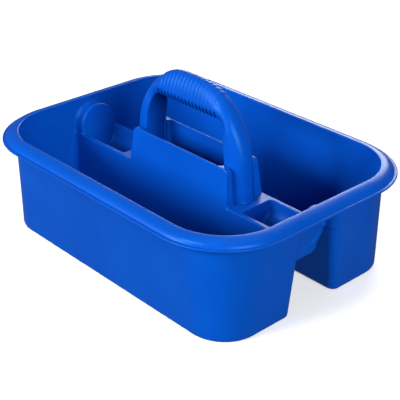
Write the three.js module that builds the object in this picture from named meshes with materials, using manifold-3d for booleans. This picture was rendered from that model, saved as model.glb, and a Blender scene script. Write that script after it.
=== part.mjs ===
// Two-bin cleaning caddy: a moulded tub with a raised centre box and tool troughs, and a snap-in carry handle.
// Millimetres, +Z up, +X along the tub, origin at the middle of the base.
import * as THREE from 'three';
import * as BufferGeometryUtils from 'three/addons/utils/BufferGeometryUtils.js';
import Module from 'manifold-3d';

const wasm = await Module();
wasm.setup();

// ---- driving dimensions -------------------------------------------------------------------------
const LENGTH = 466.7;
const WIDTH = 352.4;
const HEIGHT = 231;
const WALL = 2.7;
const GAP = 0.35;
// how far a cutting shape runs past the face that it opens
const OVERCUT = 1;

// rim: a rounded shoulder with a short flange at its lower edge
const RIM = { top: 139.4, shoulder: 16.2, drop: 10.6, skin: 2.6, cornerRadius: 95 };
const FLANGE = { reach: 3.6, thickness: 2.4, edge: 1.4 };
// outer wall of the tub at the floor and under the rim; it leans out as it rises
const BASE = { halfX: 209.5, halfY: 148.5, cornerRadius: 49, edgeRadius: 4.5 };
const WALL_TOP = { inset: 1.5, cornerRadius: 72 };
const BIN_EDGE_RADIUS = 5;

// the two long walls between the bins lean towards each other as they rise
const DIVIDER = { halfAtFloor: 40.5, lean: 0.098 };
const SHELF = { top: 94.2, thickness: 3, halfX: 91.2 };
const BOX = { top: 141.2, halfX: 87, wall: 3, cellHalfX: 72, cornerRadius: 6 };
const TROUGH = { start: 112, radius: 25, centreZ: 91.5 };
// the two ends of the tray: a leaning wall at shelf height, and a round-topped boss above it
const END = { faceX: 193.8, lean: 0.13, skin: 2.5, thickness: 4 };
const BOSS = { radius: 30, centreZ: 99.5 };
const PANEL = { halfAtShelf: 24, taper: 0.14, bottomZ: 58, pocketRadius: 22.5, pocketZ: 94.8 };

// handle: a channel, open on its inner side, with a rounded back; along the grip it is slimmer and its lips fold in
const HANDLE = { halfWidth: 17.5, skin: 3, roundness: 2.3 };
const GRIP = { slimmer: 1, foldIn: 6.5, foldHeight: 14, foldStartZ: 160 };
const RIBS = { count: 16, pitch: 6.35, height: 0.8, width: 3.6, slitHeight: 5 };
const TONGUE = { x: 86, length: 7, halfWidth: 8, depth: 6.5, setBack: 1, hook: 1.6, hookHeight: 2.2 };

const footZ = SHELF.top + GAP;
const gripTop = HEIGHT - RIBS.height;
const gripBottom = 192.5;
const gripHalfX = 53;

// The handle seen from the side, as [x, z]: up one leg, round the shoulder and along half the grip.
const CREST = {
  leg: [[99.9, footZ], [97.4, 142]],
  shoulder: [[97.4, 142], [98.4, 152.4], [85.7, 195.7], [gripHalfX, 218]],
  grip: [[gripHalfX, 218], [gripHalfX * 2 / 3, gripTop + 0.8], [gripHalfX / 3, gripTop], [0, gripTop]],
};
const INNER_EDGE = {
  leg: [[75, footZ], [72.5, 142]],
  shoulder: [[72.5, 142], [68, 178], [67, gripBottom], [gripHalfX, gripBottom]],
  grip: [[gripHalfX, gripBottom], [gripHalfX * 2 / 3, gripBottom], [gripHalfX / 3, gripBottom], [0, gripBottom]],
};

// how finely curves are divided
const STEPS = {
  planCorner: 10, halfRound: 16, floorEdge: 3, boxCorner: 4, shoulder: 5, leg: 4, bend: 14, grip: 8, back: 18,
};

const COLOUR = 0x0a55c4;

// ---- helpers ------------------------------------------------------------------------------------
function toSolid(geometry) {
  const position = geometry.clone();
  for (const name of Object.keys(position.attributes)) {
    if (name !== 'position') position.deleteAttribute(name);
  }
  const welded = BufferGeometryUtils.mergeVertices(position, 1e-4);
  return new wasm.Manifold(new wasm.Mesh({
    numProp: 3,
    vertProperties: new Float32Array(welded.attributes.position.array),
    triVerts: new Uint32Array(welded.index.array),
  }));
}

function toGeometry(solid) {
  const mesh = solid.getMesh();
  const geometry = new THREE.BufferGeometry();
  geometry.setAttribute('position', new THREE.BufferAttribute(new Float32Array(mesh.vertProperties), 3));
  geometry.setIndex(new THREE.BufferAttribute(new Uint32Array(mesh.triVerts), 1));
  geometry.computeVertexNormals();
  return geometry;
}

function union(solids) {
  return solids.reduce((sum, solid) => sum.add(solid));
}

// Joins rings of equal point count into a closed skin, with a fan on the first and last ring.
function skin(rings) {
  const count = rings[0].length;
  const positions = rings.flat().flatMap((point) => [point.x, point.y, point.z]);
  const index = [];
  for (let ring = 0; ring + 1 < rings.length; ring += 1) {
    for (let i = 0; i < count; i += 1) {
      const a = ring * count + i;
      const b = ring * count + ((i + 1) % count);
      index.push(a, b, b + count, a, b + count, a + count);
    }
  }
  const last = (rings.length - 1) * count;
  for (let i = 1; i + 1 < count; i += 1) {
    index.push(0, i + 1, i);
    index.push(last, last + i, last + i + 1);
  }
  const geometry = new THREE.BufferGeometry();
  geometry.setAttribute('position', new THREE.Float32BufferAttribute(positions, 3));
  geometry.setIndex(index);
  const solid = toSolid(geometry);
  if (solid.volume() > 0) return solid;
  geometry.setIndex(index.reverse());
  return toSolid(geometry);
}

// Rounded rectangle in plan, counter-clockwise, at one height.
function roundedRing({ halfX, halfY, cornerRadius, z }) {
  const ring = [];
  const corners = [[1, 1, 0], [-1, 1, 90], [-1, -1, 180], [1, -1, 270]];
  for (const [sx, sy, start] of corners) {
    for (let i = 0; i <= STEPS.planCorner; i += 1) {
      const angle = THREE.MathUtils.degToRad(start + (90 * i) / STEPS.planCorner);
      const x = sx * (halfX - cornerRadius) + cornerRadius * Math.cos(angle);
      const y = sy * (halfY - cornerRadius) + cornerRadius * Math.sin(angle);
      ring.push(new THREE.Vector3(x, y, z));
    }
  }
  return ring;
}

function loft(sections) {
  return skin(sections.map((section) => roundedRing(section)));
}

// A box given by its lowest and highest corner.
function block(x0, x1, y0, y1, z0, z1) {
  const geometry = new THREE.BoxGeometry(x1 - x0, y1 - y0, z1 - z0);
  geometry.translate((x0 + x1) / 2, (y0 + y1) / 2, (z0 + z1) / 2);
  return toSolid(geometry);
}

// A bar along X whose section is given as [y, z] points.
function barAlongX(section, x0, x1) {
  const outline = new THREE.Shape(section.map(([y, z]) => new THREE.Vector2(y, z)));
  const geometry = new THREE.ExtrudeGeometry(outline, { depth: x1 - x0, bevelEnabled: false });
  geometry.rotateX(Math.PI / 2);
  geometry.rotateZ(Math.PI / 2);
  geometry.translate(x0, 0, 0);
  return toSolid(geometry);
}

// Section points of a channel with a round bottom, open to a flat top.
function roundBottom(radius, centreZ, topZ) {
  const section = [[radius, topZ]];
  for (let i = 0; i <= STEPS.halfRound; i += 1) {
    const angle = (Math.PI * i) / STEPS.halfRound;
    section.push([radius * Math.cos(angle), centreZ - radius * Math.sin(angle)]);
  }
  section.push([-radius, topZ]);
  return section;
}

// Section points of an arch: straight sides from bottomZ, half-round top.
function arch(radius, centreZ, bottomZ) {
  const section = [[-radius, bottomZ]];
  for (let i = 0; i <= STEPS.halfRound; i += 1) {
    const angle = (Math.PI * i) / STEPS.halfRound;
    section.push([-radius * Math.cos(angle), centreZ + radius * Math.sin(angle)]);
  }
  section.push([radius, bottomZ]);
  return section;
}

// Section points of a bar whose half width changes with height.
function taperedSection(halfAt, z0, z1) {
  return [[-halfAt(z0), z0], [halfAt(z0), z0], [halfAt(z1), z1], [-halfAt(z1), z1]];
}

const bothEnds = (build) => union([build(1), build(-1)]);
const mirrored = (sign, x0, x1) => (sign > 0 ? [x0, x1] : [-x1, -x0]);

// ---- tub ----------------------------------------------------------------------------------------
const rimReach = RIM.shoulder + FLANGE.reach;
const crest = {
  halfX: LENGTH / 2 - rimReach,
  halfY: WIDTH / 2 - rimReach,
  cornerRadius: RIM.cornerRadius - rimReach,
};
const lipZ = RIM.top - RIM.drop;
const wallTop = {
  halfX: crest.halfX - WALL_TOP.inset + WALL,
  halfY: crest.halfY - WALL_TOP.inset + WALL,
  cornerRadius: WALL_TOP.cornerRadius,
};

// Outer face of the side wall at a height, moved outwards by an offset.
function wallAt(z, offset = 0) {
  const t = z / RIM.top;
  const mix = (key) => THREE.MathUtils.lerp(BASE[key], wallTop[key], t) + offset;
  return { halfX: mix('halfX'), halfY: mix('halfY'), cornerRadius: mix('cornerRadius'), z };
}

function crestOffset(offset, z) {
  return {
    halfX: crest.halfX + offset,
    halfY: crest.halfY + offset,
    cornerRadius: crest.cornerRadius + offset,
    z,
  };
}

function dividerHalf(z) {
  return DIVIDER.halfAtFloor - DIVIDER.lean * z;
}

// Sections that lead from a flat floor up into the wall over a quarter circle.
function floorEdge(radius, floorZ, inset) {
  const sections = [];
  for (let i = 0; i <= STEPS.floorEdge; i += 1) {
    const angle = (Math.PI / 2) * (i / STEPS.floorEdge);
    const z = floorZ + radius * (1 - Math.cos(angle));
    sections.push(wallAt(z, -inset - radius * (1 - Math.sin(angle))));
  }
  return sections;
}

function wallBody() {
  return loft([...floorEdge(BASE.edgeRadius, 0, 0), wallAt(RIM.top - RIM.skin / 2)]);
}

function binCavity() {
  return loft([
    ...floorEdge(BIN_EDGE_RADIUS, WALL, WALL),
    wallAt(RIM.top - RIM.skin, -WALL),
    crestOffset(0, RIM.top + OVERCUT),
  ]);
}

function rimShell() {
  const shoulder = [];
  const hollow = [];
  for (let i = 0; i <= STEPS.shoulder; i += 1) {
    const angle = (Math.PI / 2) * (i / STEPS.shoulder);
    const out = RIM.shoulder * Math.cos(angle);
    const z = lipZ + RIM.drop * Math.sin(angle);
    shoulder.push(crestOffset(out, z));
    hollow.push(crestOffset(out - RIM.skin * Math.cos(angle), z - RIM.skin * Math.sin(angle)));
  }
  const flange = loft([
    crestOffset(rimReach, lipZ),
    crestOffset(rimReach, lipZ + FLANGE.edge),
    crestOffset(RIM.shoulder, lipZ + FLANGE.thickness),
  ]);
  const hollowStart = crestOffset(RIM.shoulder - RIM.skin, lipZ - OVERCUT);
  return loft(shoulder).add(flange).subtract(loft([hollowStart, ...hollow]));
}

// All the space beyond the tray's end wall, counted from its trough side plus an offset.
function beyondEnd(sign, offset = 0) {
  const rings = [-OVERCUT, RIM.top].map((z) => {
    const near = END.faceX + END.lean * (z - SHELF.top) + offset;
    const far = LENGTH / 2 + OVERCUT;
    const half = DIVIDER.halfAtFloor;
    const corners = [[near, -half], [far, -half], [far, half], [near, half]];
    return corners.map(([x, y]) => new THREE.Vector3(sign * x, y, z));
  });
  return skin(rings);
}

function barToEnd(sign, section, start = TROUGH.start) {
  return barAlongX(section, ...mirrored(sign, start, LENGTH / 2));
}

// The outside of the raised box: upright long walls, ends that lean in, round upper corners.
function boxBody() {
  const ring = (halfX, z) => {
    const halfY = dividerHalf(z);
    const corners = [[halfX, -halfY], [halfX, halfY], [-halfX, halfY], [-halfX, -halfY]];
    return corners.map(([x, y]) => new THREE.Vector3(x, y, z));
  };
  const rings = [ring(SHELF.halfX, SHELF.top - SHELF.thickness), ring(SHELF.halfX, SHELF.top)];
  for (let i = 0; i <= STEPS.boxCorner; i += 1) {
    const angle = (Math.PI / 2) * (i / STEPS.boxCorner);
    const inset = BOX.cornerRadius * (1 - Math.cos(angle));
    rings.push(ring(BOX.halfX - inset, BOX.top - BOX.cornerRadius * (1 - Math.sin(angle))));
  }
  return skin(rings);
}

// Everything that stands between the bins, left uncut when the bins are hollowed.
function centreCore() {
  const ridge = barAlongX(taperedSection(dividerHalf, 0, SHELF.top), -LENGTH / 2, LENGTH / 2);
  const bossSection = arch(BOSS.radius, BOSS.centreZ, SHELF.top - SHELF.thickness);
  const bosses = bothEnds((sign) => barToEnd(sign, bossSection).intersect(beyondEnd(sign)));
  return union([ridge, boxBody(), bosses]);
}

// The open way under the centre, between the bins, with the niches at its two ends.
function tunnel() {
  const ceiling = SHELF.top - SHELF.thickness;
  const way = barAlongX(taperedSection((z) => dividerHalf(z) - WALL, -OVERCUT, ceiling), -LENGTH / 2, LENGTH / 2);
  const bellySection = roundBottom(TROUGH.radius + WALL, TROUGH.centreZ, SHELF.top);
  const bellies = bothEnds((sign) => (
    barToEnd(sign, bellySection, TROUGH.start - WALL).subtract(beyondEnd(sign, END.thickness))
  ));
  const panelHalf = (z) => PANEL.halfAtShelf - PANEL.taper * (SHELF.top - z);
  const panelSection = taperedSection(panelHalf, PANEL.bottomZ, SHELF.top);
  const panels = bothEnds((sign) => (
    barToEnd(sign, panelSection).intersect(beyondEnd(sign)).subtract(beyondEnd(sign, END.thickness))
  ));
  const nicheSection = arch(BOSS.radius - WALL, BOSS.centreZ, ceiling - SHELF.thickness);
  const niches = bothEnds((sign) => barToEnd(sign, nicheSection).intersect(beyondEnd(sign, END.thickness)));
  const pocketLow = roundBottom(PANEL.pocketRadius, PANEL.pocketZ, BOSS.centreZ);
  const pocketHigh = arch(BOSS.radius - WALL, BOSS.centreZ, PANEL.pocketZ);
  const pockets = bothEnds((sign) => (
    barToEnd(sign, pocketLow).add(barToEnd(sign, pocketHigh)).intersect(beyondEnd(sign, END.skin))
  ));
  return union([way.subtract(union([bellies, panels])), niches, pockets]);
}

function centreHollows() {
  const troughSection = roundBottom(TROUGH.radius, TROUGH.centreZ, SHELF.top + OVERCUT);
  const troughs = bothEnds((sign) => barToEnd(sign, troughSection).subtract(beyondEnd(sign)));
  const cellHalfY = dividerHalf(BOX.top) - BOX.wall;
  const top = BOX.top + OVERCUT;
  const cell = block(-BOX.cellHalfX, BOX.cellHalfX, -cellHalfY, cellHalfY, SHELF.top, top);
  const legSeat = HANDLE.halfWidth + GAP;
  const legReach = SHELF.halfX + OVERCUT;
  const legWays = block(-legReach, legReach, -legSeat, legSeat, SHELF.top, top);
  const slots = bothEnds((sign) => {
    const [x0, x1] = mirrored(sign, TONGUE.x - GAP, TONGUE.x + TONGUE.length + GAP);
    const y = TONGUE.halfWidth + GAP;
    return block(x0, x1, -y, y, SHELF.top - SHELF.thickness - OVERCUT, SHELF.top + OVERCUT);
  });
  return union([troughs, cell, legWays, slots]);
}

function tub() {
  const hollow = binCavity().subtract(centreCore());
  return wallBody().add(rimShell()).subtract(union([hollow, tunnel(), centreHollows()]));
}

// ---- handle -------------------------------------------------------------------------------------
const vectors = (points) => points.map(([x, z]) => new THREE.Vector2(x, z));

// Points of one side-view line, over the whole handle from the +X foot to the -X foot.
function wholePath({ leg, shoulder, grip }) {
  const half = [
    ...new THREE.LineCurve(...vectors(leg)).getPoints(STEPS.leg).slice(0, -1),
    ...new THREE.CubicBezierCurve(...vectors(shoulder)).getPoints(STEPS.bend).slice(0, -1),
    ...new THREE.CubicBezierCurve(...vectors(grip)).getPoints(STEPS.grip),
  ];
  const other = half.slice(0, -1).reverse().map((point) => new THREE.Vector2(-point.x, point.y));
  return [...half, ...other];
}

const crestPath = wholePath(CREST);
const innerPath = wholePath(INNER_EDGE);

// The channel's section between a crest point and the inner edge there: a rounded back and two straight ends.
function section(crestPoint, inner, { halfWidth, backOffset = 0, overcut = 0 }) {
  const out = crestPoint.clone().sub(inner);
  const depth = out.length() + backOffset;
  out.normalize();
  const power = 2 / HANDLE.roundness;
  const grip = THREE.MathUtils.clamp((inner.y - GRIP.foldStartZ) / (gripBottom - GRIP.foldStartZ), 0, 1) ** 2;
  const ring = [];
  for (let i = 0; i <= STEPS.back; i += 1) {
    const angle = Math.PI * (i / STEPS.back);
    const across = Math.cos(angle);
    const isEdge = i === 0 || i === STEPS.back;
    const distance = isEdge ? -overcut : depth * Math.sin(angle) ** power;
    const spot = inner.clone().addScaledVector(out, distance);
    const fold = grip * GRIP.foldIn * Math.max(0, 1 - distance / GRIP.foldHeight) ** 2;
    const y = (halfWidth - grip * GRIP.slimmer) * Math.abs(across) ** power - fold;
    ring.push(new THREE.Vector3(spot.x, -Math.sign(across) * Math.max(y, 0), spot.y));
  }
  return ring;
}

function sweep(options) {
  return skin(crestPath.map((crestPoint, i) => section(crestPoint, innerPath[i], options)));
}

// Raised bands across the grip.
function ribs() {
  const gripCurve = new THREE.CubicBezierCurve(...vectors(CREST.grip));
  const options = { halfWidth: HANDLE.halfWidth + RIBS.height / 2, backOffset: RIBS.height };
  const bands = [];
  for (let i = 0; i < RIBS.count; i += 1) {
    const middle = (i - (RIBS.count - 1) / 2) * RIBS.pitch;
    bands.push(skin([middle + RIBS.width / 2, middle - RIBS.width / 2].map((x) => {
      const { y: crestZ } = gripCurve.getPoint(1 - Math.abs(x) / gripHalfX);
      return section(new THREE.Vector2(x, crestZ), new THREE.Vector2(x, gripBottom), options);
    })));
  }
  return union(bands);
}

// Open slits in the lower edges of the grip, between the ends of the ribs.
function slits() {
  const halfX = (RIBS.pitch - RIBS.width) / 2;
  const halfY = HANDLE.halfWidth + OVERCUT;
  const cuts = [];
  for (let i = 0; i <= RIBS.count; i += 1) {
    const x = (i - RIBS.count / 2) * RIBS.pitch;
    cuts.push(block(x - halfX, x + halfX, -halfY, halfY, gripBottom - OVERCUT, gripBottom + RIBS.slitHeight));
  }
  return union(cuts);
}

// A barbed tongue under each foot, which hooks under the shelf.
function tongue(sign) {
  const stem = block(
    ...mirrored(sign, TONGUE.x, TONGUE.x + TONGUE.length - TONGUE.hook),
    -TONGUE.halfWidth, TONGUE.halfWidth,
    footZ - TONGUE.depth, footZ + OVERCUT,
  );
  const hookTop = SHELF.top - SHELF.thickness - GAP;
  const hook = block(
    ...mirrored(sign, TONGUE.x + TONGUE.setBack, TONGUE.x + TONGUE.length + TONGUE.hook),
    -TONGUE.halfWidth, TONGUE.halfWidth,
    hookTop - TONGUE.hookHeight, hookTop,
  );
  return stem.add(hook);
}

function handle() {
  const body = sweep({ halfWidth: HANDLE.halfWidth }).add(ribs());
  const channel = sweep({
    halfWidth: HANDLE.halfWidth - HANDLE.skin,
    backOffset: -HANDLE.skin,
    overcut: OVERCUT,
  });
  const feet = block(-LENGTH / 2, LENGTH / 2, -WIDTH / 2, WIDTH / 2, 0, footZ + HANDLE.skin);
  const shell = body.subtract(channel.subtract(feet)).subtract(slits());
  return union([shell, bothEnds(tongue)]);
}

// ---- scene --------------------------------------------------------------------------------------
function part(name, solid) {
  const material = new THREE.MeshStandardMaterial({ color: COLOUR, roughness: 0.38, metalness: 0 });
  material.name = `${name}_polypropylene`;
  const mesh = new THREE.Mesh(toGeometry(solid), material);
  mesh.name = name;
  return mesh;
}

const caddy = new THREE.Group();
caddy.name = 'cleaning_caddy';
caddy.add(part('tub', tub()));
caddy.add(part('handle', handle()));

export default caddy;
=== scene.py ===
import math

import bpy
import numpy as np
from mathutils import Matrix, Vector


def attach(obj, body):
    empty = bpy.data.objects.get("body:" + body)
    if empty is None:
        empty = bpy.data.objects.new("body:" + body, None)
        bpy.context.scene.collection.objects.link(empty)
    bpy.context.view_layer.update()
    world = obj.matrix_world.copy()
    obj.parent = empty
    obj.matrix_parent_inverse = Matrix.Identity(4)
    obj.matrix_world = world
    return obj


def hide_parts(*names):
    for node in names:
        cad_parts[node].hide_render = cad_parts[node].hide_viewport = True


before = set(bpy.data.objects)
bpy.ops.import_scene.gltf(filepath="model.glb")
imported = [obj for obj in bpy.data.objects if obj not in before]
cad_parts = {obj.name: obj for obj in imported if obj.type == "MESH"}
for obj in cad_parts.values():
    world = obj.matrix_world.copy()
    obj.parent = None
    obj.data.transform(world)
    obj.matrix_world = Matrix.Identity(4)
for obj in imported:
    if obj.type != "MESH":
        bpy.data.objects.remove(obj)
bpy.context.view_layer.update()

MM = 0.001

# ---- tub, in millimetres ------------------------------------------------------------------------
LENGTH = 466.7
WIDTH = 352.4
HEIGHT = 231.0
WALL = 2.7
GAP = 0.35

# rim: a rounded shoulder with a short flange at its lower edge
RIM_TOP = 139.4
RIM_SHOULDER = 16.2
RIM_DROP = 10.6
RIM_LIP = 3.6
RIM_SKIN = 2.5
RIM_CORNER = 95.0
RIM_REACH = RIM_SHOULDER + RIM_LIP
RIM_STEPS = 14

# crest: where the rim meets the inside of the wall
CREST_HALF_X = LENGTH / 2 - RIM_REACH
CREST_HALF_Y = WIDTH / 2 - RIM_REACH
CREST_CORNER = RIM_CORNER - RIM_REACH

# outer face of the side wall at the floor and at the rim's height
BASE_HALF_X = 209.5
BASE_HALF_Y = 148.5
BASE_CORNER = 49.0
WALL_INSET = 1.5
TOP_HALF_X = CREST_HALF_X - WALL_INSET + WALL
TOP_HALF_Y = CREST_HALF_Y - WALL_INSET + WALL
TOP_CORNER = 72.0

# the centre: leaning walls between the bins, shelf, raised box, and a trough at each end
DIVIDER_HALF = 40.5
DIVIDER_LEAN = 0.098
SHELF_TOP = 94.2
SHELF_THICK = 3.0
BOX_TOP = 141.2
BOX_HALF_X = 87.0
BOX_FOOT_X = 91.2
BOX_WALL = 3.0
BOX_CELL_HALF_X = 72.0
BOX_CELL_CORNER = 4.0
BOX_TOP_CORNER = 6.0
LEG_WAY_START = BOX_HALF_X / 2
TROUGH_START = 112.0
TROUGH_RADIUS = 25.0
TROUGH_Z = 91.5

# the two ends of the tray: a leaning wall, a round-topped boss, and a niche and a pocket behind them
END_FACE = 193.8
END_LEAN = 0.13
END_SKIN = 2.5
END_THICK = 4.0
BOSS_RADIUS = 30.0
BOSS_Z = 99.5
PANEL_HALF_Y = 24.0
PANEL_TAPER = 0.14
PANEL_BOTTOM = 58.0
PANEL_CORNER = 8.0
POCKET_RADIUS = 22.5
POCKET_Z = 94.8
NICHE_RADIUS = BOSS_RADIUS - WALL

# how round the tub's edges and inner corners are
BASE_EDGE = 4.5
BIN_FLOOR_ROUND = 5.0
BIN_CORNER_ROUND = 10.0
BIN_TOP_ROUND = 5.0
BOX_EDGE = 1.3
BOX_FOOT_FILLET = 2.2
TRAY_EDGE = 1.6
TROUGH_EDGE = 1.0
TROUGH_START_ROUND = 4.0
BELLY_START_ROUND = 3.0
BOSS_EDGE = 1.8
BOSS_FILLET = 2.0
END_EDGE = 1.0
CEILING_ROUND = 2.0
HOLLOW_ROUND = 1.5
NICHE_FILLET = 2.0
MOUTH_ROUND = 10.0
RIM_FILLET = 1.0

# the wall ends inside the rim's skin, except within this distance of the centre
CENTRE_MARGIN = 10.0
# the rim's skin is worked out only this near to it
RIM_MARGIN = 8.0

# ---- handle, in millimetres ---------------------------------------------------------------------
# a channel, open on its inner side; along the grip it is slimmer and its lips fold in
GRIP_HALF_X = 53.0
GRIP_HALF_Y = 17.5
GRIP_SKIN = 3.0
GRIP_BOTTOM = 192.5
GRIP_SLIMMER = 1.0
GRIP_FOLD = 6.5
GRIP_FOLD_HEIGHT = 14.0
GRIP_FOLD_START = 160.0
# power of the curve that rounds the back: 2 is an ellipse, more is squarer
GRIP_BACK = 2.3
# how far the outer and inner edges of the lips are eased; the inner one counts the other way
OUTER_LIP_EDGE = 0.6
INNER_LIP_EDGE = -0.4

RIB_COUNT = 16
RIB_PITCH = 6.35
RIB_HEIGHT = 0.8
RIB_WIDTH = 3.6
RIB_SOFTNESS = 0.5
SLIT_HEIGHT = 9.5
GRIP_TOP = HEIGHT - RIB_HEIGHT

FOOT_Z = SHELF_TOP + GAP
FOOT_FLARE = 1.4
FOOT_FLARE_HEIGHT = 1.6
FOOT_INSET = 0.4
TONGUE_X = 86.0
TONGUE_LENGTH = 7.0
TONGUE_HALF_Y = 8.0
TONGUE_DEPTH = 6.5
TONGUE_ROOT = 1.0
TONGUE_SET_BACK = 1.0
TONGUE_HOOK = 1.6
TONGUE_HOOK_HEIGHT = 2.2

# The handle seen from the side, as (x, z): up one leg, round the shoulder and along half the grip.
CREST_FOOT = (99.9, FOOT_Z)
CREST_LEG_TOP = (97.4, 142.0)
CREST_GRIP_START = (GRIP_HALF_X, 218.0)
CREST_SWELL = 0.8
CREST_PATH = (
    (CREST_FOOT, CREST_LEG_TOP),
    (CREST_LEG_TOP, (98.4, 152.4), (85.7, 195.7), CREST_GRIP_START),
    (
        CREST_GRIP_START,
        (GRIP_HALF_X * 2 / 3, GRIP_TOP + CREST_SWELL),
        (GRIP_HALF_X / 3, GRIP_TOP),
        (0.0, GRIP_TOP),
    ),
)
INNER_FOOT = (75.0, FOOT_Z)
INNER_LEG_TOP = (72.5, 142.0)
INNER_GRIP_START = (GRIP_HALF_X, GRIP_BOTTOM)
INNER_PATH = (
    (INNER_FOOT, INNER_LEG_TOP),
    (INNER_LEG_TOP, (68.0, 178.0), (67.0, GRIP_BOTTOM), INNER_GRIP_START),
    (
        INNER_GRIP_START,
        (GRIP_HALF_X * 2 / 3, GRIP_BOTTOM),
        (GRIP_HALF_X / 3, GRIP_BOTTOM),
        (0.0, GRIP_BOTTOM),
    ),
)

# ---- mesh resolution ----------------------------------------------------------------------------
CELL = 1.25
TUB_TRIANGLES = 190000
# lifts the grid, so that none of its levels lies in the tub's flat base
GRID_LIFT = 0.4
# points this close to a mirror plane are put on it, and points this close count as on it
SNAP = CELL * 0.4
SHARED = 1e-6
# bounds that keep settling steady where the field bends sharply
LEAST_SLOPE_SQUARED = 0.25
LONGEST_MOVE = 0.6
# least length that a direction is divided by
TINY = 1e-9

LEG_STEPS = 30
SHOULDER_STEPS = 90
GRIP_STEPS = 120
# the lips are divided evenly to just above the slits, and the back by angle from a little higher
LIP_TOP = SLIT_HEIGHT + 1.5
LIP_STEPS = 6
BACK_START = SLIT_HEIGHT + 2
BACK_STEPS = 30
SHARP_ANGLE = 42

# ---- plastic ------------------------------------------------------------------------------------
# the two blues that drift into each other: place on the ramp, and colour
BLUES = ((0.30, (0.0008, 0.062, 0.415)), (0.72, (0.0012, 0.078, 0.480)))
HANDLE_TINT = 1.04
# patterns over the piece: scale and detail
CLOUD_PATTERN = (9.0, 4.0)
CLOUD_ROUGHNESS = 0.55
GLOSS_PATTERN = (26.0, 5.0)
GRAIN_PATTERN = (900.0, 2.0)
WAVE_PATTERN = (22.0, 1.0)
GLOSS_RANGE = {"From Min": 0.3, "From Max": 0.7, "To Min": 0.29, "To Max": 0.37}
# bumps: strength, and height in metres
GRAIN_BUMP = (0.10, 0.0002)
WAVE_BUMP = (0.11, 0.0006)
PLASTIC_IOR = 1.49
PLASTIC_SPECULAR = 0.32
PLASTIC_SPECULAR_TINT = (0.12, 0.42, 1.0, 1)

# ---- stage, in metres ---------------------------------------------------------------------------
FLOOR_SIZE = 12.0
FLOOR_COLOUR = (0.95, 0.95, 0.95, 1)
FLOOR_ROUGHNESS = 0.9
FLOOR_GLOW = 0.3
WHITE = (1.0, 1.0, 1.0, 1)
WORLD_STRENGTH = 0.11
CADDY_MIDDLE = (0, 0, 0.08)
NEAR_RIM = (0.15, -0.14, 0.13)
# each lamp: where it is, what it points at, its size, and its power in watts
LAMPS = {
    "key": ((-0.8, -2.35, 1.1), CADDY_MIDDLE, (1.4, 1.0), 92),
    "overhead": ((0.0, 0.3, 2.6), CADDY_MIDDLE, (1.6, 1.6), 9),
    "fill": ((2.4, -0.7, 1.2), CADDY_MIDDLE, (1.2, 1.0), 68),
    "back": ((-1.5, 2.3, 1.2), CADDY_MIDDLE, (1.6, 1.0), 46),
    "strip": ((0.0, -1.05, 1.25), NEAR_RIM, (0.5, 0.05), 14),
}

# angles in degrees, lens and sensor in millimetres
CAMERA_AZIMUTH = 47.12
CAMERA_ELEVATION = 28.19
CAMERA_ROLL = 0.35
CAMERA_DISTANCE = 1.3454
CAMERA_TARGET = Vector((0.0074, 0.0040, 0.0592))
CAMERA_LENS = 93.58
CAMERA_SENSOR = 36.0


# ---- distance fields ----------------------------------------------------------------------------
# Each returns millimetres to a surface: negative inside the shape, positive outside it.
def rounded_rectangle(x, y, half_x, half_y, radius):
    across = x - (half_x - radius)
    along = y - (half_y - radius)
    outside = np.hypot(np.maximum(across, 0), np.maximum(along, 0))
    return outside + np.minimum(np.maximum(across, along), 0) - radius


def round_and(a, b, radius):
    """The overlap of two shapes, its edges rounded."""
    outside = np.hypot(np.maximum(radius + a, 0), np.maximum(radius + b, 0))
    return np.minimum(-radius, np.maximum(a, b)) + outside


def round_or(a, b, radius):
    """Two shapes joined, with a fillet where they meet."""
    inside = np.hypot(np.maximum(radius - a, 0), np.maximum(radius - b, 0))
    return np.maximum(radius, np.minimum(a, b)) - inside


def mix(a, b, t):
    return a + (b - a) * t


def arch(y, z, radius, centre_z):
    """A half round on straight sides that run down without end."""
    return np.hypot(y, np.maximum(z - centre_z, 0)) - radius


def bowl(y, z, radius, centre_z):
    """A half round below straight sides that run up without end."""
    return np.hypot(y, np.minimum(z - centre_z, 0)) - radius


def rim_line():
    """The middle of the rim's skin: (distance outside the crest, height) from the crest to the lip."""
    half = RIM_SKIN / 2
    lip_z = RIM_TOP - RIM_DROP
    flange_z = lip_z + half
    reach = RIM_SHOULDER - half
    rise = RIM_DROP - half
    last = math.acos(half / rise)
    points = []
    for step in range(RIM_STEPS + 1):
        angle = last * step / RIM_STEPS
        points.append((reach * math.sin(angle), lip_z + rise * math.cos(angle)))
    points.append((RIM_REACH - half, flange_z))
    return points


def rim_field(out, z):
    """The rim's skin, given the distance outside the crest and the height."""
    best = np.full(out.shape, np.inf)
    line = rim_line()
    for (d0, z0), (d1, z1) in zip(line, line[1:]):
        span_d = d1 - d0
        span_z = z1 - z0
        t = ((out - d0) * span_d + (z - z0) * span_z) / (span_d**2 + span_z**2)
        t = np.clip(t, 0, 1)
        best = np.minimum(best, np.hypot(out - d0 - t * span_d, z - z0 - t * span_z))
    return best - RIM_SKIN / 2


def side_field(x, y, z):
    """The outer face of the tub's wall, which leans out as it rises."""
    t = z / RIM_TOP
    half_x = mix(BASE_HALF_X, TOP_HALF_X, t)
    half_y = mix(BASE_HALF_Y, TOP_HALF_Y, t)
    return rounded_rectangle(x, y, half_x, half_y, mix(BASE_CORNER, TOP_CORNER, t))


def divider_field(y, z):
    """The bin-side face of the wall between a bin and the centre."""
    return (y - DIVIDER_HALF + DIVIDER_LEAN * z) / math.hypot(1, DIVIDER_LEAN)


def end_field(x, z, offset=0.0):
    """Negative on the trough's side of the tray's leaning end wall, whose face is moved out by an offset."""
    return (x - END_FACE - END_LEAN * (z - SHELF_TOP)) / math.hypot(1, END_LEAN) - offset


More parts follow.
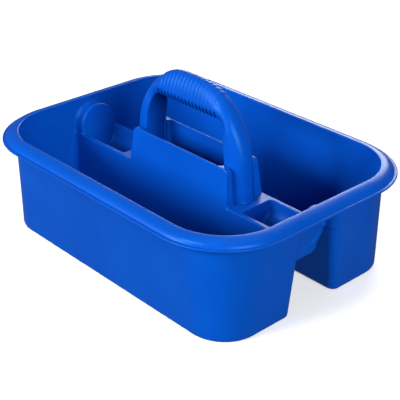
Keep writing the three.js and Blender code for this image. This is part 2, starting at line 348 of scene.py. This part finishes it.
def underside_field(x, y, z):
    """The open space under the centre and in the niches at its two ends."""
    outer_face = end_field(x, z, END_THICK)
    ceiling = SHELF_TOP - SHELF_THICK
    tunnel = round_and(divider_field(y, z) + WALL, z - ceiling, CEILING_ROUND)

    belly = round_and(bowl(y, z, TROUGH_RADIUS + WALL, TROUGH_Z), outer_face, END_EDGE)
    belly = round_and(belly, TROUGH_START - WALL - x, BELLY_START_ROUND)
    panel_side = y - PANEL_HALF_Y + PANEL_TAPER * (SHELF_TOP - z)
    panel = round_and(panel_side, PANEL_BOTTOM - z, PANEL_CORNER)
    panel = round_and(panel, outer_face, END_EDGE)
    hanging = np.minimum(belly, np.maximum(panel, -end_field(x, z)))
    tunnel = round_and(tunnel, -hanging, HOLLOW_ROUND)

    niche = round_and(arch(y, z, NICHE_RADIUS, BOSS_Z), -outer_face, HOLLOW_ROUND)
    rise = np.clip((z - POCKET_Z) / (BOSS_Z - POCKET_Z), 0, 1)
    pocket = np.hypot(y, z - np.clip(z, POCKET_Z, BOSS_Z)) - mix(POCKET_RADIUS, NICHE_RADIUS, rise)
    pocket = round_and(pocket, -end_field(x, z, END_SKIN), END_EDGE)
    return round_or(tunnel, np.minimum(niche, pocket), NICHE_FILLET)


def core_field(x, y, z):
    """Everything that stands between the bins: tray, box walls and end bosses."""
    rise = (z - SHELF_TOP) / (BOX_TOP - SHELF_TOP)
    block = round_and(x - mix(BOX_FOOT_X, BOX_HALF_X, rise), z - BOX_TOP, BOX_TOP_CORNER)
    cell_half_y = DIVIDER_HALF - DIVIDER_LEAN * BOX_TOP - BOX_WALL
    cell = rounded_rectangle(x, y, BOX_CELL_HALF_X, cell_half_y, BOX_CELL_CORNER)
    leg_way = np.maximum(y - GRIP_HALF_Y - GAP, LEG_WAY_START - x)
    walls = round_and(block, -np.minimum(cell, leg_way), BOX_EDGE)

    top = round_or(z - SHELF_TOP, walls, BOX_FOOT_FILLET)
    trough = round_and(bowl(y, z, TROUGH_RADIUS, TROUGH_Z), TROUGH_START - x, TROUGH_START_ROUND)
    top = round_and(top, -trough, TROUGH_EDGE)
    ridge = round_and(top, divider_field(y, z), TRAY_EDGE)
    boss = round_and(arch(y, z, BOSS_RADIUS, BOSS_Z), -end_field(x, z), BOSS_EDGE)
    return round_or(ridge, boss, BOSS_FILLET)


def tub_field(x, y, z):
    """The whole tub, which is its own mirror image across both middle planes."""
    x = np.abs(x)
    y = np.abs(y)
    side = side_field(x, y, z)
    body = round_and(side, -underside_field(x, y, z), MOUTH_ROUND)
    body = round_and(body, -z, BASE_EDGE)
    from_centre = np.maximum(x - BOX_FOOT_X - CENTRE_MARGIN, y - DIVIDER_HALF - CENTRE_MARGIN)
    body = np.maximum(body, np.minimum(z - RIM_TOP + RIM_SKIN / 2, from_centre))

    trough_depth = SHELF_TOP - TROUGH_Z + TROUGH_RADIUS
    near_shelf = np.clip((z - TROUGH_Z + TROUGH_RADIUS) / trough_depth, 0, 1)
    corner_round = mix(BIN_CORNER_ROUND, BIN_TOP_ROUND, near_shelf)
    bins = round_and(side + WALL, -core_field(x, y, z), corner_round)
    bins = round_and(bins, WALL - z, BIN_FLOOR_ROUND)
    body = np.maximum(body, -bins)

    slot_x = np.abs(x - TONGUE_X - TONGUE_LENGTH / 2) - TONGUE_LENGTH / 2 - GAP
    slot = np.maximum(np.maximum(slot_x, y - TONGUE_HALF_Y - GAP), SHELF_TOP - 2 * SHELF_THICK - z)
    body = np.maximum(body, -slot)

    out = rounded_rectangle(x, y, CREST_HALF_X, CREST_HALF_Y, CREST_CORNER)
    out, high, body = np.broadcast_arrays(out, z, body)
    result = body.copy()
    near = (high > RIM_TOP - RIM_DROP - RIM_MARGIN) & (out > -RIM_MARGIN)
    result[near] = round_or(body[near], rim_field(out[near], high[near]), RIM_FILLET)
    return result


# ---- meshing a field ----------------------------------------------------------------------------
CORNERS = [(i, j, k) for i in (0, 1) for j in (0, 1) for k in (0, 1)]


def crossing_points(values, cells):
    """For each cell, the mean of the places where the surface crosses its edges, in grid steps."""
    corner_values = [values[tuple((cells + corner).T)] for corner in CORNERS]
    total = np.zeros((len(cells), 3))
    count = np.zeros(len(cells))
    for first, a in enumerate(CORNERS):
        for second, b in enumerate(CORNERS):
            if second <= first or sum(abs(p - q) for p, q in zip(a, b)) != 1:
                continue
            va = corner_values[first]
            vb = corner_values[second]
            crossed = (va < 0) != (vb < 0)
            t = np.where(crossed, va / np.where(crossed, va - vb, 1), 0)
            point = np.array(a) + t[:, None] * (np.array(b) - np.array(a))
            total += point * crossed[:, None]
            count += crossed
    return cells + total / count[:, None]


def crossing_faces(inside, number):
    """A four-sided face, turned outwards, across each grid edge that the surface crosses."""
    faces = []
    for axis in range(3):
        u = (axis + 1) % 3
        v = (axis + 2) % 3
        low = [slice(None)] * 3
        high = [slice(None)] * 3
        low[axis] = slice(0, -1)
        high[axis] = slice(1, None)
        start = inside[tuple(low)]
        change = np.argwhere(start != inside[tuple(high)])
        ok = np.all([(change[:, w] >= 1) & (change[:, w] < number.shape[w]) for w in (u, v)], axis=0)
        change = change[ok]
        step_u = np.eye(3, dtype=int)[u]
        step_v = np.eye(3, dtype=int)[v]
        ring = [change - step_u - step_v, change - step_v, change, change - step_u]
        quad = np.stack([number[tuple(c.T)] for c in ring], axis=1)
        flip = ~start[tuple(change.T)]
        quad[flip] = quad[flip][:, ::-1]
        faces.append(quad)
    return np.concatenate(faces)


def surface_net(field, xs, ys, zs):
    """Points near the surface, one in each grid cell that it crosses, and the faces between them."""
    values = field(xs[:, None, None], ys[None, :, None], zs[None, None, :]).astype(np.float32)
    inside = values < 0
    shape = tuple(n - 1 for n in values.shape)
    filled = np.zeros(shape, np.int8)
    for i, j, k in CORNERS:
        filled += inside[i : i + shape[0], j : j + shape[1], k : k + shape[2]]
    cells = np.argwhere((filled > 0) & (filled < len(CORNERS)))
    number = np.full(shape, -1, np.int64)
    number[tuple(cells.T)] = np.arange(len(cells))
    first = np.array([xs[0], ys[0], zs[0]])
    step = np.array([xs[1] - xs[0], ys[1] - ys[0], zs[1] - zs[0]])
    return crossing_points(values, cells) * step + first, crossing_faces(inside, number)


def slope(field, points, reach=0.05):
    """The field's slope at each point, which is the surface's outward direction there."""
    result = np.zeros_like(points)
    for axis in range(3):
        shift = np.zeros(3)
        shift[axis] = reach
        result[:, axis] = field(*(points + shift).T) - field(*(points - shift).T)
    return result / (2 * reach)


def settle(field, points, rounds=3):
    """Moves points straight onto the surface."""
    for _ in range(rounds):
        direction = slope(field, points)
        slope_squared = np.maximum((direction**2).sum(axis=1), LEAST_SLOPE_SQUARED)
        move = field(*points.T) / slope_squared
        points = points - np.clip(move, -LONGEST_MOVE, LONGEST_MOVE)[:, None] * direction
    return points


# ---- meshes in Blender --------------------------------------------------------------------------
def mesh_object(name, points, faces):
    mesh = bpy.data.meshes.new(name)
    mesh.from_pydata(points.tolist(), [], faces.tolist() if isinstance(faces, np.ndarray) else faces)
    mesh.update()
    shown = bpy.data.objects.new(name, mesh)
    bpy.context.scene.collection.objects.link(shown)
    return shown


def read_mesh(shown):
    """An object's points, and its faces as triangles."""
    mesh = shown.data
    points = np.zeros(len(mesh.vertices) * 3)
    mesh.vertices.foreach_get("co", points)
    mesh.calc_loop_triangles()
    faces = np.zeros(len(mesh.loop_triangles) * 3, dtype=np.int32)
    mesh.loop_triangles.foreach_get("vertices", faces)
    return points.reshape(-1, 3), faces.reshape(-1, 3)


def apply_modifiers(shown):
    graph = bpy.context.evaluated_depsgraph_get()
    old = shown.data
    shown.data = bpy.data.meshes.new_from_object(shown.evaluated_get(graph))
    shown.modifiers.clear()
    bpy.data.meshes.remove(old)


def mirror(points, faces, axis):
    """Adds the mirror image; points on the mirror plane are shared."""
    shared = np.abs(points[:, axis]) < SHARED
    other = points.copy()
    other[:, axis] *= -1
    number = np.arange(len(points)) + len(points)
    number[shared] = np.flatnonzero(shared)
    keep = np.concatenate([np.ones(len(points), bool), ~shared])
    joined = np.concatenate([points, other])
    renumber = np.cumsum(keep) - 1
    both = np.concatenate([faces, number[faces][:, ::-1]])
    return joined[keep], renumber[both]


def smooth(shown, normals=None):
    """Shades an object smooth, by the outward directions given, if any."""
    mesh = shown.data
    mesh.polygons.foreach_set("use_smooth", [True] * len(mesh.polygons))
    if normals is not None:
        length = np.maximum(np.linalg.norm(normals, axis=1), TINY)
        mesh.normals_split_custom_set_from_vertices((normals / length[:, None]).tolist())


def make_tub():
    """Meshes a quarter of the tub, thins it out, settles it on the surface again and mirrors it twice."""
    xs = np.arange(-CELL / 2, LENGTH / 2 + 2 * CELL, CELL)
    ys = np.arange(-CELL / 2, WIDTH / 2 + 2 * CELL, CELL)
    zs = np.arange(-2 * CELL + GRID_LIFT, BOX_TOP + 2 * CELL, CELL)
    points, quads = surface_net(tub_field, xs, ys, zs)
    points = settle(tub_field, points)
    points[:, :2] = np.where(np.abs(points[:, :2]) < SNAP, 0, points[:, :2])
    rough = mesh_object("tub_quarter", points, quads)
    reduce = rough.modifiers.new("reduce", "DECIMATE")
    reduce.ratio = TUB_TRIANGLES / 4 / (2 * len(quads))
    apply_modifiers(rough)
    points, faces = read_mesh(rough)
    bpy.data.objects.remove(rough)

    on_plane = np.abs(points[:, :2]) < SNAP
    points[:, :2] = np.where(on_plane, 0, points[:, :2])
    points = settle(tub_field, points)
    points[:, :2] = np.where(on_plane, 0, points[:, :2])
    for axis in (0, 1):
        points, faces = mirror(points, faces, axis)
    shown = mesh_object("tub_shell", points * MM, faces)
    smooth(shown, slope(tub_field, points))
    return shown


# ---- handle -------------------------------------------------------------------------------------
def bezier(p0, p1, p2, p3, t):
    s = 1 - t
    return s**3 * p0 + 3 * s**2 * t * p1 + 3 * s * t**2 * p2 + t**3 * p3


def whole_path(leg, shoulder, grip):
    """Points of one side-view line, over the whole handle from the +X foot to the -X foot."""
    leg, shoulder, grip = (np.array(part, float) for part in (leg, shoulder, grip))
    up = [mix(*leg, t) for t in np.linspace(0, 1, LEG_STEPS, endpoint=False)]
    bend = [bezier(*shoulder, t) for t in np.linspace(0, 1, SHOULDER_STEPS, endpoint=False)]
    along = [bezier(*grip, t) for t in np.linspace(0, 1, GRIP_STEPS + 1)]
    half = np.array(up + bend + along)
    return np.concatenate([half, half[:-1][::-1] * np.array([-1, 1])])


def rib_at(x):
    """How far up a rib a place on the grip is, from 0 to 1."""
    end = RIB_COUNT * RIB_PITCH / 2
    phase = abs((x + end) % RIB_PITCH - RIB_PITCH / 2)
    t = np.clip((RIB_WIDTH / 2 + RIB_SOFTNESS - phase) / (2 * RIB_SOFTNESS), 0, 1)
    return t * t * (3 - 2 * t) if abs(x) < end else 0.0


def handle_section(crest, inner):
    """The channel's outline at one place along the handle: outer skin points, then inner skin points."""
    depth = np.linalg.norm(crest - inner)
    away = (crest - inner) / depth
    grip = np.clip((inner[1] - GRIP_FOLD_START) / (GRIP_BOTTOM - GRIP_FOLD_START), 0, 1) ** 2
    slits_end = (RIB_COUNT * RIB_PITCH + RIB_PITCH - RIB_WIDTH) / 2
    on_grip = crest[1] > GRIP_BOTTOM and abs(crest[0]) < slits_end
    rib = rib_at(crest[0]) if on_grip else 0.0
    lift = (1 - rib) * SLIT_HEIGHT if on_grip else 0.0
    flare = FOOT_FLARE * math.exp(-(crest[1] - FOOT_Z) / FOOT_FLARE_HEIGHT)
    power = 2 / GRIP_BACK

    def half(side, height, edge):
        """One side of a skin, as (y, distance from the inner edge): lip, side, then back to the middle."""

        def skin_y(s):
            across = side * (1 - (s / height) ** GRIP_BACK) ** (1 / GRIP_BACK)
            fold = GRIP_FOLD * max(0, 1 - s / GRIP_FOLD_HEIGHT) ** 2
            return across - grip * (GRIP_SLIMMER + fold)

        lip = (skin_y(lift) + (GRIP_SKIN / 2 if edge < 0 else -GRIP_SKIN / 2), lift)
        low = [(skin_y(lift) - edge, lift)]
        low += [(skin_y(s), s) for s in np.linspace(lift + abs(edge), LIP_TOP, LIP_STEPS)]
        start = math.asin((BACK_START / height) ** (GRIP_BACK / 2))
        angles = np.linspace(start, math.pi / 2, BACK_STEPS)[:-1]
        heights = [height * math.sin(t) ** power for t in angles]
        return [lip] + low + [(skin_y(s), s) for s in heights] + [(0, height)]

    def both(points):
        return points + [(-y, s) for y, s in points[:-1][::-1]]

    def place(y, s):
        spot = inner + away * s
        return (spot[0], y, spot[1])

    outer_side = GRIP_HALF_Y + rib * RIB_HEIGHT / 2
    outline = both(half(outer_side, depth + rib * RIB_HEIGHT + flare, OUTER_LIP_EDGE))
    lining = both(half(GRIP_HALF_Y - GRIP_SKIN, depth - GRIP_SKIN, INNER_LIP_EDGE))
    return [place(*p) for p in outline], [place(*p) for p in lining[1:-1]]


def channel():
    """Points and faces of the arched channel, closed at both feet."""
    rings = []
    for crest, inner in zip(whole_path(*CREST_PATH), whole_path(*INNER_PATH)):
        outline, lining = handle_section(crest, inner)
        rings.append(outline + lining[::-1])
    outer_count = len(outline)
    count = len(rings[0])
    last = (len(rings) - 1) * count
    faces = []
    for start in range(0, last, count):
        for i in range(count):
            a = start + i
            b = start + (i + 1) % count
            faces.append((a, b, b + count, a + count))
    for start in (0, last):
        for k in range(outer_count - 1):
            lining_a = 0 if k == 0 else count - k
            lining_b = outer_count - 1 if k == outer_count - 2 else count - k - 1
            # at both ends of the outline a point is shared, which leaves a three-sided face
            face = list(dict.fromkeys([start + k, start + k + 1, start + lining_b, start + lining_a]))
            faces.append(tuple(face if start == 0 else face[::-1]))
    return [p for ring in rings for p in ring], faces


def foot_floor(sign):
    """Points and faces of the floor that closes one foot, set slightly inside the channel's outer skin."""
    levels = []
    for z in (FOOT_Z, FOOT_Z + GRIP_SKIN):
        outline, _ = handle_section(np.array((CREST_FOOT[0], z)), np.array((INNER_FOOT[0], z)))
        middle = np.array(outline).mean(axis=0)
        inset = [mix(np.array(p), middle, FOOT_INSET / GRIP_HALF_Y) for p in outline]
        levels.append([tuple(p * np.array([sign, 1, 1])) for p in inset])
    n = len(levels[0])
    faces = [tuple(range(n)), tuple(range(2 * n - 1, n - 1, -1))]
    faces += [(k, n + k, n + (k + 1) % n, (k + 1) % n) for k in range(n)]
    return levels[0] + levels[1], faces


BLOCK_FACES = [(0, 1, 3, 2), (4, 6, 7, 5), (0, 4, 5, 1), (2, 3, 7, 6), (0, 2, 6, 4), (1, 5, 7, 3)]


def tongue_block(sign, x0, x1, z0, z1):
    xs = sorted((sign * x0, sign * x1))
    points = [(x, y, z) for x in xs for y in (-TONGUE_HALF_Y, TONGUE_HALF_Y) for z in (z0, z1)]
    return points, BLOCK_FACES


def tongue(sign):
    """A barbed tongue under one foot, which hooks under the shelf: its stem and its hook."""
    stem_end = TONGUE_X + TONGUE_LENGTH - TONGUE_HOOK
    hook_end = TONGUE_X + TONGUE_LENGTH + TONGUE_HOOK
    hook_top = SHELF_TOP - SHELF_THICK - GAP
    return [
        tongue_block(sign, TONGUE_X, stem_end, FOOT_Z - TONGUE_DEPTH, FOOT_Z + TONGUE_ROOT),
        tongue_block(sign, TONGUE_X + TONGUE_SET_BACK, hook_end, hook_top - TONGUE_HOOK_HEIGHT, hook_top),
    ]


def make_handle():
    solids = [channel()]
    for sign in (1, -1):
        solids += [foot_floor(sign), *tongue(sign)]
    points = []
    faces = []
    for solid_points, solid_faces in solids:
        base = len(points)
        points += solid_points
        faces += [tuple(base + i for i in face) for face in solid_faces]
    shown = mesh_object("handle_shell", np.array(points) * MM, faces)
    smooth(shown)
    shown.data.set_sharp_from_angle(angle=math.radians(SHARP_ANGLE))
    return shown


# ---- material -----------------------------------------------------------------------------------
def polypropylene(name, tint=1.0):
    """Satin blue moulded plastic: slightly cloudy colour, a fine moulding texture and uneven gloss."""
    material = bpy.data.materials.new(name)
    material.use_nodes = True
    nodes = material.node_tree.nodes
    links = material.node_tree.links
    shader = nodes["Principled BSDF"]
    place = nodes.new("ShaderNodeTexCoord")

    def noise(scale, detail):
        pattern = nodes.new("ShaderNodeTexNoise")
        pattern.inputs["Scale"].default_value = scale
        pattern.inputs["Detail"].default_value = detail
        links.new(place.outputs["Object"], pattern.inputs["Vector"])
        return pattern

    def bump(pattern, strength, height):
        relief = nodes.new("ShaderNodeBump")
        relief.inputs["Strength"].default_value = strength
        relief.inputs["Distance"].default_value = height
        links.new(pattern.outputs["Fac"], relief.inputs["Height"])
        return relief

    cloud = noise(*CLOUD_PATTERN)
    cloud.inputs["Roughness"].default_value = CLOUD_ROUGHNESS
    colour = nodes.new("ShaderNodeValToRGB")
    for stop, (position, (red, green, blue)) in zip(colour.color_ramp.elements, BLUES):
        stop.position = position
        stop.color = (red, green * tint, blue * tint, 1)
    links.new(cloud.outputs["Fac"], colour.inputs["Fac"])
    links.new(colour.outputs["Color"], shader.inputs["Base Color"])

    gloss = noise(*GLOSS_PATTERN)
    spread = nodes.new("ShaderNodeMapRange")
    for end, value in GLOSS_RANGE.items():
        spread.inputs[end].default_value = value
    links.new(gloss.outputs["Fac"], spread.inputs["Value"])
    links.new(spread.outputs["Result"], shader.inputs["Roughness"])

    fine = bump(noise(*GRAIN_PATTERN), *GRAIN_BUMP)
    broad = bump(noise(*WAVE_PATTERN), *WAVE_BUMP)
    links.new(fine.outputs["Normal"], broad.inputs["Normal"])
    links.new(broad.outputs["Normal"], shader.inputs["Normal"])
    shader.inputs["IOR"].default_value = PLASTIC_IOR
    shader.inputs["Specular IOR Level"].default_value = PLASTIC_SPECULAR
    shader.inputs["Specular Tint"].default_value = PLASTIC_SPECULAR_TINT
    return material


# ---- pieces -------------------------------------------------------------------------------------
tub = make_tub()
tub.data.materials.append(polypropylene("tub_polypropylene"))
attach(tub, "root")
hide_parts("tub")

handle = make_handle()
handle.data.materials.append(polypropylene("handle_polypropylene", HANDLE_TINT))
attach(handle, "root")
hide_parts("handle")


# ---- stage --------------------------------------------------------------------------------------
def floor_material():
    material = bpy.data.materials.new("pale_floor")
    material.use_nodes = True
    shader = material.node_tree.nodes["Principled BSDF"]
    shader.inputs["Base Color"].default_value = FLOOR_COLOUR
    shader.inputs["Roughness"].default_value = FLOOR_ROUGHNESS
    shader.inputs["Emission Color"].default_value = WHITE
    shader.inputs["Emission Strength"].default_value = FLOOR_GLOW
    return material


def area_light(name, place, aim, size, power):
    data = bpy.data.lights.new(name, "AREA")
    data.shape = "RECTANGLE"
    data.size = size[0]
    data.size_y = size[1]
    data.energy = power
    lamp = bpy.data.objects.new(name, data)
    bpy.context.scene.collection.objects.link(lamp)
    lamp.location = place
    lamp.rotation_euler = (Vector(aim) - Vector(place)).to_track_quat("-Z", "Y").to_euler()
    return lamp


floor = mesh_object(
    "floor",
    np.array([(-1, -1, 0), (1, -1, 0), (1, 1, 0), (-1, 1, 0)]) * FLOOR_SIZE / 2,
    [(0, 1, 2, 3)],
)
floor.data.materials.append(floor_material())
floor.visible_glossy = False
floor.visible_diffuse = False

lamps = {name: area_light(name, *lamp) for name, lamp in LAMPS.items()}
lamps["strip"].visible_diffuse = False

world = bpy.data.worlds.new("studio")
world.use_nodes = True
background = world.node_tree.nodes["Background"]
background.inputs["Color"].default_value = WHITE
background.inputs["Strength"].default_value = WORLD_STRENGTH
bpy.context.scene.world = world
bpy.context.scene.view_settings.view_transform = "Standard"

# ---- camera -------------------------------------------------------------------------------------
azimuth = math.radians(CAMERA_AZIMUTH)
elevation = math.radians(CAMERA_ELEVATION)
roll = math.radians(CAMERA_ROLL)
back = Vector(
    (math.sin(azimuth) * math.cos(elevation), -math.cos(azimuth) * math.cos(elevation), math.sin(elevation))
)
right = Vector((math.cos(azimuth), math.sin(azimuth), 0))
up = back.cross(right)
rolled_right = right * math.cos(roll) + up * math.sin(roll)
rolled_up = up * math.cos(roll) - right * math.sin(roll)
camera = bpy.data.objects.new("camera", bpy.data.cameras.new("camera"))
bpy.context.scene.collection.objects.link(camera)
axes = Matrix((rolled_right, rolled_up, back)).transposed().to_4x4()
camera.matrix_world = Matrix.Translation(CAMERA_TARGET + back * CAMERA_DISTANCE) @ axes
camera.data.sensor_width = CAMERA_SENSOR
camera.data.lens = CAMERA_LENS
bpy.context.scene.camera = camera
